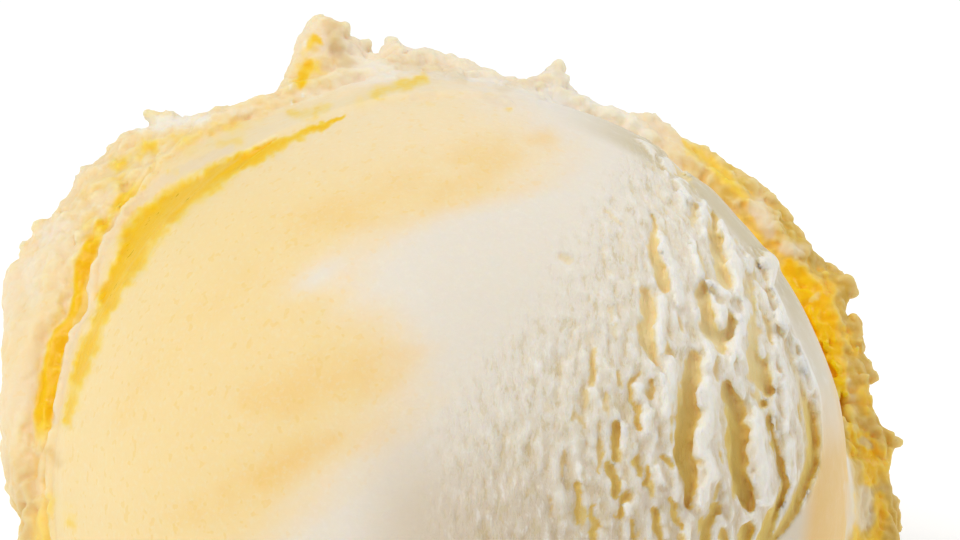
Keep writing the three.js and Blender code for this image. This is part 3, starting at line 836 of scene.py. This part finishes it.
# saturated gold in small hollows of the collar, and painted shadows under two crumbs on the dome's top, in the front
# view: line, then how much
GOLD_SPOTS_AND_SHADOWS = [
    ([(376, 93, 6), (392, 86, 7), (426, 80, 5)], 0.58), ([(345, 104, 5), (362, 99, 7)], 0.35),
    ([(314, 40, 5), (308, 60, 8), (302, 84, 7)], 0.85), ([(332, 60, 7), (318, 68, 8)], 0.75),
    ([(292, 112, 6), (308, 114, 7), (330, 108, 4)], 0.5), ([(288, 92, 6), (296, 104, 7)], 0.22),
    ([(118, 164, 9), (136, 161, 9)], 0.62), ([(146, 149, 8), (172, 143, 9)], 0.58), ([(186, 138, 7), (210, 134, 8)], 0.48),
    ([(216, 128, 8), (238, 123, 8)], 0.42), ([(222, 144, 6), (240, 141, 6)], 0.42), ([(170, 171, 3), (178, 171, 3)], 0.9),
    ([(104, 186, 10), (122, 182, 9)], 0.42), ([(84, 226, 8), (96, 212, 7)], 0.36), ([(270, 108, 6), (286, 104, 6)], 0.25),
    ([(90, 198, 11), (116, 180, 13), (160, 158, 12), (214, 138, 10), (262, 120, 6)], 0.24),
    # the last two here are painted shadows under crumbs
    ([(142, 187, 3), (146, 189, 3)], 0.95), ([(427, 102, 3), (432, 104, 2)], 0.5), ([(507, 109, 3), (513, 108, 2)], 0.55),
    ([(50, 500, 8), (40, 525, 6), (38, 545, 6)], 0.4), ([(68, 508, 6), (70, 536, 7)], 0.48),
    # along the crevice's outer side on the left
    ([(78, 262, 5), (66, 300, 6), (52, 336, 6), (42, 372, 6), (38, 420, 5)], 0.34),
    # beside the lip on the right
    ([(682, 141, 3), (700, 154, 6), (728, 180, 7), (744, 198, 5)], 0.55), ([(754, 216, 4), (768, 236, 5), (780, 254, 5)], 0.5),
    ([(788, 270, 8), (813, 298, 16), (825, 328, 13), (834, 356, 9), (840, 380, 6), (845, 396, 3)], 1.35),
    ([(850, 426, 4), (855, 455, 5)], 0.75), ([(864, 440, 9), (872, 456, 11), (872, 476, 10)], 1.0), ([(884, 450, 8), (886, 476, 7)], 0.5),
    ([(880, 500, 7), (884, 520, 7), (872, 545, 12)], 0.7), ([(854, 492, 3), (856, 524, 3), (856, 545, 5)], 0.55),
    ([(846, 330, 4), (856, 352, 5)], 0.55), ([(862, 388, 6), (868, 408, 6)], 0.6), ([(820, 268, 4), (834, 290, 5)], 0.5),
]
YELLOW_COLLAR = [
    (0, 0.9), (48, 0.9), (54, 0.35), (60, 0.1), (74, 0.05), (84, 0.2), (92, 0.3), (97, 0.4), (102, 0.65), (110, 0.8), (140, 0.75), (150, 0.6),
    (166, 0.7), (180, 0.95), (200, 0.9), (240, 0.4), (290, 0.5), (330, 0.9),
]
HOLLOW_GOLD = [(0, 0.9), (48, 0.85), (54, 0.3), (60, 0.05), (96, 0.08), (110, 0.2), (200, 0.35), (240, 0.6), (330, 0.85)]
AMBER = [(0, 1.3), (30, 1.2), (46, 1.0), (51, 0.5), (56, 0.1), (68, 0.0), (76, 0.0), (100, 0.0), (112, 0.25), (128, 0.2), (145, 0.05), (165, 0.1), (182, 0.35), (240, 0.2), (300, 0.5), (340, 1.3)]
# greyish-pink ones among the lumps, in the front view: (x, y, half width)
BLUSH = [
    ([(754, 208, 6), (764, 222, 7), (770, 234, 6)], 0.9), ([(784, 249, 5), (800, 250, 6)], 0.8),
    ([(864, 492, 7), (865, 522, 8)], 1.0), ([(849, 486, 4), (850, 520, 4)], 0.7), ([(862, 440, 4), (869, 446, 4)], 0.8), ([(812, 300, 3), (818, 296, 4)], 0.7),
    ([(352, 48, 7), (366, 47, 5)], 0.6), ([(558, 68, 5), (560, 84, 5)], 0.8),
    ([(486, 97, 5), (508, 103, 5)], 0.7), ([(412, 96, 4), (430, 93, 5)], 0.5),
    ([(70, 190, 8), (58, 218, 8), (30, 245, 8)], 0.35),
    ([(232, 148, 3), (196, 164, 5), (166, 179, 5), (146, 195, 5), (128, 209, 5), (116, 224, 5), (106, 240, 5), (97, 262, 5),
      (90, 282, 5), (82, 310, 5), (74, 334, 4), (66, 362, 4), (60, 390, 4), (55, 420, 4)], 0.6),
]


# olive-khaki strokes, partly the ice cream's own olive tone and partly painted shade: the peak's shaded right side, the
# bottom left and the right collar
KHAKI_SHADE = [
    ([(333, 24, 9), (334, 46, 10), (346, 62, 9)], 0.6), ([(326, 62, 7), (318, 74, 6)], 0.3),
    ([(396, 62, 9), (430, 68, 9), (462, 76, 6)], 0.32), ([(498, 88, 6), (524, 84, 6), (546, 78, 7)], 0.24),
    ([(22, 470, 16), (30, 545, 20)], 0.5),
    ([(862, 320, 26), (868, 400, 28), (882, 450, 24)], 0.5), ([(770, 200, 26), (820, 260, 26), (850, 320, 24)], 0.34),
    ([(876, 440, 22), (886, 480, 20), (888, 545, 18)], 0.8), ([(46, 450, 8), (58, 462, 8)], 0.45),
]
# milky patches of the collar
MILK = [
    ([(142, 126, 7), (176, 120, 8), (206, 116, 7)], 0.85), ([(232, 112, 4), (252, 110, 5)], 0.5), ([(44, 238, 8), (62, 222, 8)], 0.5),
    ([(28, 262, 9), (34, 300, 9)], 0.3), ([(590, 102, 7), (622, 118, 8), (650, 137, 6)], 0.75), ([(366, 62, 8), (392, 74, 6)], 0.4),
    ([(758, 206, 8), (770, 224, 8)], 0.45), ([(784, 244, 6), (796, 252, 6)], 0.45), ([(822, 306, 4), (832, 322, 5)], 0.25),
    ([(846, 378, 5), (852, 396, 5)], 0.3), ([(866, 498, 5), (866, 520, 6)], 0.4), ([(300, 96, 5), (318, 92, 5)], 0.35),
]
# painted highlights: wet glints on the peak, as small white dots
GLINTS = [([(305, 42, 1.8), (305, 45, 1.8)], 1.0), ([(290, 86, 1.6), (290, 88, 1.6)], 1.0), ([(303, 94, 1.8), (303, 96, 1.8)], 1.0), ([(292, 102, 1.5), (292, 104, 1.5)], 0.9)]


def masks(q):
    pts, x, y, phi, rho, h = q.p, q.x, q.y, q.phi, q.rho, q.h
    # what the front view shows: the near side of the dome, and of the collar what stands out round the dome
    outside = step(380, 392, np.hypot(x - 454, y - 481))
    seen = np.maximum(step(-0.10, 0.08, q.facing), step(-9.0, -6.0, h) * outside * ((phi < 200) | (phi > 300)))
    on_dome = 1 - step(83, 90, q.theta)
    collar_zone = step(83, 91, q.theta)
    # streaky drift, running from lower left to upper right
    along = (x * 0.86 - y * 0.5) / 395 * 30
    across = (x * 0.5 + y * 0.86) / 395 * 30
    drift = noise(along / 9.0, across / 2.6, pts[:, 1] / 30)
    drift2 = noise(along / 4.0 + 9, across / 1.1 + 4, pts[:, 1] / 30)
    rag = noise3(pts, 1.1, 14.2)
    edge = np.interp(y, [e[0] for e in WHITE_EDGE], [e[1] for e in WHITE_EDGE])
    yellow = step(-75, 62, edge - x + 26 * drift + 12 * drift2)
    patch = bell(np.hypot((x - 320) / 30, (y - 276 + (x - 320) * 0.45) / 14))
    yellow = yellow * (1 - 0.9 * patch) * (1 - 0.30 * (1 - step(110, 250, y - 0.12 * (x - 420))))
    # the collar's own share, and broad marbling behind and below
    ring = np.clip(around(phi, YELLOW_COLLAR) + 0.5 * noise3(pts, 5.0, 66.0), 0, 1)
    own = step(-0.25, 0.25, noise3(pts, 13.0, 6.3) + 0.25 * noise3(pts, 5.0, 66.0))
    front = on_dome * yellow + (1 - on_dome) * ring
    yellow = seen * front + (1 - seen) * own
    deep = strokes(x + 8 * drift2, y + 10 * drift, STREAKS, 0.0, 1.6) * seen * on_dome
    # gold gathers in hollows, most of all in the gap and the crevice
    wide, fine = hollow_wide - 0.5, hollow_fine - 0.5
    gap_r = around(phi, GAP_R)
    wide_r = np.maximum(gap_r, 0.0)
    gap = np.hypot((rho - around(phi, GAP_RHO)) / (wide_r + 0.5), (h - around(phi, GAP_H)) / (1.8 * wide_r + 0.6))
    gold = 0.72 * (1 - step(0.7, 1.35, gap + 0.25 * rag)) * step(0.2, 0.9, gap_r)
    off = rho - around(phi, SLOT_RHO)
    slot = np.where(off < 0, 1 - step(0.30, 0.7, -off + 0.15 * rag), 1 - step(0.55, 1.5, off + 0.3 * rag))
    gold = np.maximum(gold, slot * np.clip(around(phi, SLOT_OPEN) * 1.15, 0, 1) * (h < 1.2) * (1 - 0.4 * step(470, 500, y)))
    gold = np.maximum(gold, collar_zone * around(phi, HOLLOW_GOLD) * (step(0.03, 0.26, wide) + 0.4 * step(0.0, 0.2, fine)))
    gold = gold * step(76, 84, q.theta)
    jx, jy = x + 3.0 * rag, y + 2.5 * noise3(pts, 0.9, 28.0)
    level = np.zeros(len(x))
    patchy = np.clip(0.80 + 1.1 * noise(x / 24, y / 24, level + 1.3) + 0.6 * noise(x / 9, y / 9, level + 4.4), 0.15, 1.0)
    patchy = patchy + (1 - patchy) * 0.6 * step(560, 700, x)
    jx2 = x + 4.5 * noise(x / 17, y / 17, level + 3.3) + 3.5 * noise(x / 6, y / 6, level + 7.1)
    jy2 = y + 4.5 * noise(x / 17, y / 17, level + 13.3) + 3.5 * noise(x / 6, y / 6, level + 17.1)
    drawn = np.maximum(patchy * strokes(jx2, jy2, GOLD_SPOTS_AND_SHADOWS, 0.0, 2.0), 1.2 * (0.65 + 0.35 * patchy) * strokes(jx2, jy2, GOLD_BAND, 0.0, 2.4))
    drawn = drawn * (1 - (x > 600) * (1 - step(73, 79, q.theta)))     # beside the lip, not on it
    gold = np.maximum(gold, seen * ((phi < 200) | (phi > 300)) * (h > -7) * drawn)
    # the torn half: golden pit floors, partly the gold beneath and partly painted shade, and bright ridges, partly
    # painted highlight
    s = torn(q)
    floor, bright = np.zeros(len(x)), np.zeros(len(x))
    k = np.nonzero((s > 0.005) & (q.theta < 84))[0]
    cut, lift, relief = tearing(q.only(k), s[k])
    floor[k] = np.maximum(step(0.08, 0.34, cut), 0.30 * step(0.05, 0.30, -relief))
    bright[k] = np.maximum(step(0.04, 0.30, lift), 0.75 * step(0.05, 0.28, relief) * (1 - step(0.05, 0.22, cut)))
    # painted shade in the small hollows, painted highlight on the small ridges
    floor = np.maximum(floor, 0.5 * step(0.08, 0.24, fine) * step(0.1, 0.5, s) * (q.theta < 84))
    bright = np.maximum(bright, 0.6 * step(0.02, 0.16, -fine) * np.clip(s * 1.4, 0, 1) * (q.theta < 84))
    bright = bright * (1 - 0.8 * step(378, 418, y) * step(794, 808, x))
    # painted highlights: the glints
    bright = np.maximum(bright, strokes(x, y, GLINTS, 0.5, 1.2) * seen * (h > -7))
    # painted highlight: the collar's small ridges paler
    pale = collar_zone * step(-0.02, 0.16, -fine)
    amber = np.clip(around(phi, AMBER) * (0.85 + 0.6 * noise3(pts, 3.4, 17.0)), 0, 1) * collar_zone * seen
    blush = strokes(jx, jy, BLUSH, 0.5, 1.6) * seen * (h > -7)
    gold = gold * (1 - 0.9 * blush)
    # the smooth band between the long groove and the lip: orange-beige low down, with a pale rim
    rim = 395.0 - np.hypot(x - 454, y - 481)
    front = step(0.0, 0.16, q.facing) * on_dome
    sheet = (1 - step(30, 50, rim)) * step(372, 480, y + 16 * drift) * step(640, 790, x) * front
    # the lip band: greyer, partly its own tone and partly painted shade
    lip = (1 - step(16, 28, rim)) * step(540, 660, x) * (1 - 0.5 * step(280, 360, y)) * (1 - step(370, 440, y)) * front
    # painted light: the glow of the gold through the thin edge of the lip; painted shade: the greyer foot of the dome
    glow = (1 - step(2, 9, rim)) * step(640, 690, x) * step(-0.02, 0.1, q.facing) * on_dome
    foot_shade = step(395, 540, y + 20 * drift) * step(330, 430, x) * step(0.1, 0.35, q.facing) * on_dome
    khaki_shade = strokes(jx2, jy2, KHAKI_SHADE, 0.0, 1.5) * seen * (h > -7.5)
    milk = strokes(jx2, jy2, MILK, 0.3, 1.6) * seen * collar_zone * (1 - 0.6 * np.clip(gold, 0, 1))
    # painted shade: the pit floors darker lower down, where the dome turns away from the light
    low = step(330, 440, y) * front
    # the collar's outer part on the right lies away from the light
    away = step(740, 840, x) * np.maximum(step(8, 26, -rim), step(410, 440, y) * (1 - 0.6 * step(470, 500, y))) * collar_zone * seen
    lip = (lip, glow, foot_shade, khaki_shade, milk, low, away)
    return s, (yellow, deep, gold), (floor, bright, pale), (amber, blush, sheet), lip


q = Place(points)
s_torn, marbling, reliefs, zones, lip = masks(q)
note("masks")


def make_mesh(name, pts, quads):
    mesh = bpy.data.meshes.new(name)
    world = (pts + CENTRE) / 1000.0
    mesh.vertices.add(len(world))
    mesh.vertices.foreach_set("co", world.astype(F4).ravel())
    mesh.loops.add(quads.size)
    mesh.loops.foreach_set("vertex_index", quads.astype(np.int32).ravel())
    mesh.polygons.add(len(quads))
    mesh.polygons.foreach_set("loop_start", np.arange(0, quads.size, 4, dtype=np.int32))
    mesh.polygons.foreach_set("use_smooth", np.ones(len(quads), bool))
    mesh.update(calc_edges=True)
    mesh.validate()
    return mesh


def colour(mesh, name, *parts):
    data = np.zeros((len(mesh.vertices), 4), F4)
    data[:, 3] = 1
    for i, part in enumerate(parts):
        data[:, i] = np.clip(part, 0, 1)
    mesh.attributes.new(name, "FLOAT_COLOR", "POINT").data.foreach_set("color", data.ravel())


mesh = make_mesh("ice_cream", points, faces)
colour(mesh, "marble", *marbling)
colour(mesh, "relief", *reliefs)
colour(mesh, "zone", *zones)
colour(mesh, "skin", np.clip(s_torn, 0, 1), lip[0])
# painted glow at the lip's edge, painted shade at the dome's foot, and the olive tint with painted shade
colour(mesh, "tone", lip[1], lip[2], lip[3])
# milky patches, then two channels of painted shade
colour(mesh, "milk_and_shade", lip[4], lip[5], lip[6])
# coordinates that follow the streaks: across them, along them and into the ball, in metres
flow = np.stack([30.0 * np.radians(q.lon) * np.cos(np.radians(q.lat)), 30.0 * np.radians(q.lat) * 0.4, q.n], -1) / 1000.0
mesh.attributes.new("flow", "FLOAT_VECTOR", "POINT").data.foreach_set("vector", flow.astype(F4).ravel())
ice = bpy.data.objects.new("ice_cream", mesh)
bpy.context.scene.collection.objects.link(ice)
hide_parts("scoop")
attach(ice, "root")
note("mesh made")

# an unfolding onto the six sides of a cube, as the UV map OFBake
centre_dir = points[faces].mean(1)
face_axis = np.abs(centre_dir).argmax(1)
face_sign = np.sign(centre_dir[np.arange(len(faces)), face_axis])
loops = points[faces]
uv = np.zeros((len(faces), 4, 2))
for axis in range(3):
    for sign in (-1, 1):
        pick = (face_axis == axis) & (face_sign == sign)
        if not pick.any():
            continue
        o1, o2 = [m for m in range(3) if m != axis]
        t = loops[pick]
        m = np.abs(t[:, :, axis]) + 1e-9
        a = np.arctan(t[:, :, o1] / m) * (4 / math.pi)
        b = np.arctan(t[:, :, o2] / m) * (4 / math.pi)
        tile = axis * 2 + (sign > 0)
        uv[pick, :, 0] = (tile % 3 + 0.5 + a * 0.47) / 3
        uv[pick, :, 1] = (tile // 3 + 0.5 + b * 0.47) / 2
layer = mesh.uv_layers.new(name="OFBake")
layer.data.foreach_set("uv", uv.astype(F4).ravel())
note("unfolded")

# ---------------------------------------------------------------------------------------------------------------------
# Material
# ---------------------------------------------------------------------------------------------------------------------


def srgb(r, g, b):
    def lin(c):
        c /= 255.0
        return c / 12.92 if c <= 0.04045 else ((c + 0.055) / 1.055) ** 2.4
    return (lin(r), lin(g), lin(b), 1.0)


class Nodes:
    def __init__(self, name):
        self.mat = bpy.data.materials.new(name)
        self.mat.use_nodes = True
        self.tree = self.mat.node_tree
        self.tree.nodes.clear()

    def add(self, kind, **set_):
        n = self.tree.nodes.new(kind)
        for k, v in set_.items():
            setattr(n, k, v)
        return n

    def link(self, a, b):
        self.tree.links.new(a, b)

    def put(self, socket, value):
        if hasattr(value, "is_linked"):
            self.link(value, socket)
        else:
            socket.default_value = value

    def mix(self, fac, a, b, how="MIX"):
        n = self.add("ShaderNodeMix", data_type="RGBA", blend_type=how)
        self.put(n.inputs[0], fac)
        self.put(n.inputs[6], a)
        self.put(n.inputs[7], b)
        return n.outputs[2]

    def math(self, op, a, b=0.0, clamp=False):
        n = self.add("ShaderNodeMath", operation=op, use_clamp=clamp)
        self.put(n.inputs[0], a)
        self.put(n.inputs[1], b)
        return n.outputs[0]

    def noise(self, scale, detail=4.0, rough=0.55, vector=None):
        n = self.add("ShaderNodeTexNoise")
        n.inputs["Scale"].default_value = scale
        n.inputs["Detail"].default_value = detail
        n.inputs["Roughness"].default_value = rough
        if vector is not None:
            self.link(vector, n.inputs["Vector"])
        return n.outputs["Fac"]

    def ramp(self, value, lo, hi):
        n = self.add("ShaderNodeMapRange", interpolation_type="SMOOTHSTEP")
        self.put(n.inputs[0], value)
        n.inputs[1].default_value = lo
        n.inputs[2].default_value = hi
        return n.outputs[0]


g = Nodes("ice_cream")
where = g.add("ShaderNodeTexCoord").outputs["Object"]


def read(name):
    n = g.add("ShaderNodeAttribute", attribute_name=name)
    sep = g.add("ShaderNodeSeparateColor")
    g.link(n.outputs["Color"], sep.inputs[0])
    return sep.outputs


marble, relief, zone, skin, tone, milk_and_shade = read("marble"), read("relief"), read("zone"), read("skin"), read("tone"), read("milk_and_shade")
flow = g.add("ShaderNodeAttribute", attribute_name="flow").outputs["Vector"]
white = srgb(239, 231, 217)
cream_yellow = srgb(254, 222, 164)
deep_yellow = srgb(252, 206, 122)
gold_colour = srgb(254, 197, 3)
# pit floor colour: the gold beneath, darker lower down as painted shade
floor_colour = g.mix(milk_and_shade[1], srgb(246, 224, 162), srgb(234, 203, 104))
bright = srgb(250, 246, 238)
# the right collar's golden yellow, a little darkened as painted shade
amber = srgb(228, 192, 84)
blush = srgb(234, 217, 190)
sheet = srgb(236, 195, 120)
fleck = g.noise(2600.0, 2.0, 0.6, where)
cloud = g.noise(260.0, 2.0, 0.5, where)
mottle = g.noise(700.0, 3.0, 0.6, where)
base = g.mix(marble[0], white, cream_yellow)
base = g.mix(g.math("MULTIPLY", marble[1], g.ramp(cloud, 0.25, 0.6)), base, deep_yellow)
base = g.mix(g.math("MULTIPLY", g.ramp(fleck, 0.45, 0.8), 0.16), base, bright)
dots = g.ramp(g.noise(1500.0, 1.0, 0.5, where), 0.62, 0.70)
base = g.mix(g.math("MULTIPLY", dots, g.math("MULTIPLY", marble[0], 0.5)), base, srgb(250, 212, 132))
base = g.mix(g.math("MULTIPLY", g.ramp(skin[0], 0.1, 0.7), 0.5), base, srgb(234, 224, 204))
# painted shade: the greyer foot of the dome
base = g.mix(g.math("MULTIPLY", tone[1], 0.85), base, srgb(222, 207, 184))
# the lip band, partly its own greyer tone and partly painted shade
base = g.mix(g.math("MULTIPLY", g.math("MULTIPLY", skin[1], g.ramp(mottle, 0.0, 0.5)), 0.85), base, srgb(211, 196, 158))
# painted light: the gold glowing through the lip's thin edge
base = g.mix(g.math("MULTIPLY", tone[0], 0.6), base, srgb(238, 208, 150))
base = g.mix(g.math("MULTIPLY", zone[2], 0.9), base, sheet)
base = g.mix(g.math("MULTIPLY", zone[0], g.ramp(mottle, 0.05, 0.55)), base, amber)
# fine flakes along the streaks of the torn half: painted shade between them, painted highlight on them, where the bump
# is low and high
flake = g.noise(1800.0, 3.0, 0.70, flow)
ragged = g.ramp(skin[0], 0.05, 0.45)
between = g.math("SUBTRACT", 1.0, g.ramp(flake, 0.34, 0.47))
base = g.mix(g.math("MULTIPLY", g.math("MULTIPLY", between, ragged), 0.55), base, srgb(216, 198, 152))
base = g.mix(g.math("MULTIPLY", g.math("MULTIPLY", g.ramp(flake, 0.54, 0.68), ragged), 0.55), base, bright)
# pit floors and small hollows: gold, darkened as painted shade
base = g.mix(g.math("MULTIPLY", relief[0], 0.9), base, floor_colour)
# torn ridges and tufts whiter, partly their own white and partly painted highlight, with the painted glints
base = g.mix(g.math("MULTIPLY", relief[1], 0.75), base, bright)
# painted highlight on the collar's small ridges
base = g.mix(g.math("MULTIPLY", relief[2], 0.42), base, srgb(244, 228, 190))
# olive-khaki tint, partly painted shade
base = g.mix(g.math("MULTIPLY", tone[2], 0.85), base, srgb(211, 176, 94))
base = g.mix(g.math("MULTIPLY", milk_and_shade[0], g.ramp(mottle, 0.1, 0.5)), base, srgb(246, 240, 226))
base = g.mix(g.math("MULTIPLY", zone[1], 0.75), base, blush)
base = g.mix(g.ramp(marble[2], 0.0, 0.7), base, srgb(255, 214, 84))
base = g.mix(g.ramp(marble[2], 0.35, 0.95), base, gold_colour)
# painted shade on the right collar's outer part, away from the light
base = g.mix(g.math("MULTIPLY", milk_and_shade[2], 0.85), base, (0.88, 0.84, 0.68, 1.0), "MULTIPLY")

bsdf = g.add("ShaderNodeBsdfPrincipled")
g.link(base, bsdf.inputs["Base Color"])
rough = g.ramp(mottle, 0.2, 0.8)
matt = g.math("ADD", g.math("MULTIPLY", rough, 0.22), 0.40)
g.link(g.math("SUBTRACT", matt, g.math("MULTIPLY", marble[2], 0.16)), bsdf.inputs["Roughness"])
bsdf.inputs["IOR"].default_value = 1.35
bsdf.inputs["Specular IOR Level"].default_value = 0.4
bsdf.inputs["Subsurface Weight"].default_value = 0.7
bsdf.inputs["Subsurface Radius"].default_value = (1.0, 0.80, 0.50)
bsdf.inputs["Subsurface Scale"].default_value = 0.0019
bump = g.add("ShaderNodeBump")
bump.inputs["Strength"].default_value = 0.4
bump.inputs["Distance"].default_value = 0.00016
grain = g.math("MULTIPLY", g.noise(3000.0, 3.0, 0.68, where), 0.9)
pores = g.math("MULTIPLY", g.ramp(flake, 0.25, 0.60), g.math("MULTIPLY", ragged, 1.9))
g.link(g.math("ADD", grain, pores), bump.inputs["Height"])
g.link(bump.outputs[0], bsdf.inputs["Normal"])
outn = g.add("ShaderNodeOutputMaterial")
g.link(bsdf.outputs[0], outn.inputs[0])
mesh.materials.append(g.mat)

# ---------------------------------------------------------------------------------------------------------------------
# Floor, light and camera
# ---------------------------------------------------------------------------------------------------------------------
scene = bpy.context.scene
floor_mesh = bpy.data.meshes.new("floor")
floor_mesh.from_pydata([(-3, -3, 0), (3, -3, 0), (3, 3, 0), (-3, 3, 0)], [], [(0, 1, 2, 3)])
floor = bpy.data.objects.new("floor", floor_mesh)
scene.collection.objects.link(floor)
f = Nodes("floor")
fb = f.add("ShaderNodeBsdfPrincipled")
tint = f.mix(f.noise(4.0, 2.0), (0.93, 0.93, 0.925, 1), (0.96, 0.96, 0.96, 1))
f.link(tint, fb.inputs["Base Color"])
fb.inputs["Roughness"].default_value = 0.9
fb.inputs["Emission Color"].default_value = (1.0, 1.0, 1.0, 1.0)
fb.inputs["Emission Strength"].default_value = 0.2
fo = f.add("ShaderNodeOutputMaterial")
f.link(fb.outputs[0], fo.inputs[0])
floor_mesh.materials.append(f.mat)

world = bpy.data.worlds.new("studio")
scene.world = world
world.use_nodes = True
bg = world.node_tree.nodes["Background"]
bg.inputs[0].default_value = (1.0, 1.0, 1.0, 1.0)
bg.inputs[1].default_value = 0.42


def area(name, place, aim, size, watts, tone=(1, 1, 1)):
    lamp = bpy.data.lights.new(name, "AREA")
    lamp.shape = "DISK"
    lamp.size = size
    lamp.energy = watts
    lamp.color = tone
    ob = bpy.data.objects.new(name, lamp)
    ob.location = place
    d = np.array(aim) - np.array(place)
    import mathutils
    ob.rotation_euler = mathutils.Vector(d).to_track_quat("-Z", "Y").to_euler()
    scene.collection.objects.link(ob)
    return ob


def lit(name, toward, far, size, share, tone=(1, 1, 1)):
    """A soft round light, share being how brightly it lights a white surface that faces it."""
    toward = np.array(toward) / np.linalg.norm(toward)
    middle = np.array([0, 0, 0.025])
    return area(name, tuple(middle + far * toward), middle, size, share * math.pi ** 2 * far ** 2, tone)


lit("key", (-0.45, -0.22, 0.865), 0.9, 0.45, 0.54, (1.0, 0.985, 0.955))
lit("rim", (0.75, 0.35, 0.50), 0.9, 0.50, 0.275, (0.97, 0.985, 1.0))

cam_data = bpy.data.cameras.new("camera")
cam_data.lens = LENS
cam_data.sensor_width = 36.0
cam_data.clip_start = 0.01
cam_data.clip_end = 20.0
cam = bpy.data.objects.new("camera", cam_data)
scene.collection.objects.link(cam)
import mathutils
rot = mathutils.Matrix((RIGHT, UP, -AHEAD)).transposed()
cam.matrix_world = mathutils.Matrix.Translation((EYE + CENTRE) / 1000.0) @ rot.to_4x4()
scene.camera = cam

scene.view_settings.view_transform = "Standard"
scene.view_settings.look = "None"
scene.view_settings.exposure = 0.0
scene.view_settings.gamma = 1.0

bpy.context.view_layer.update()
note("scene ready")
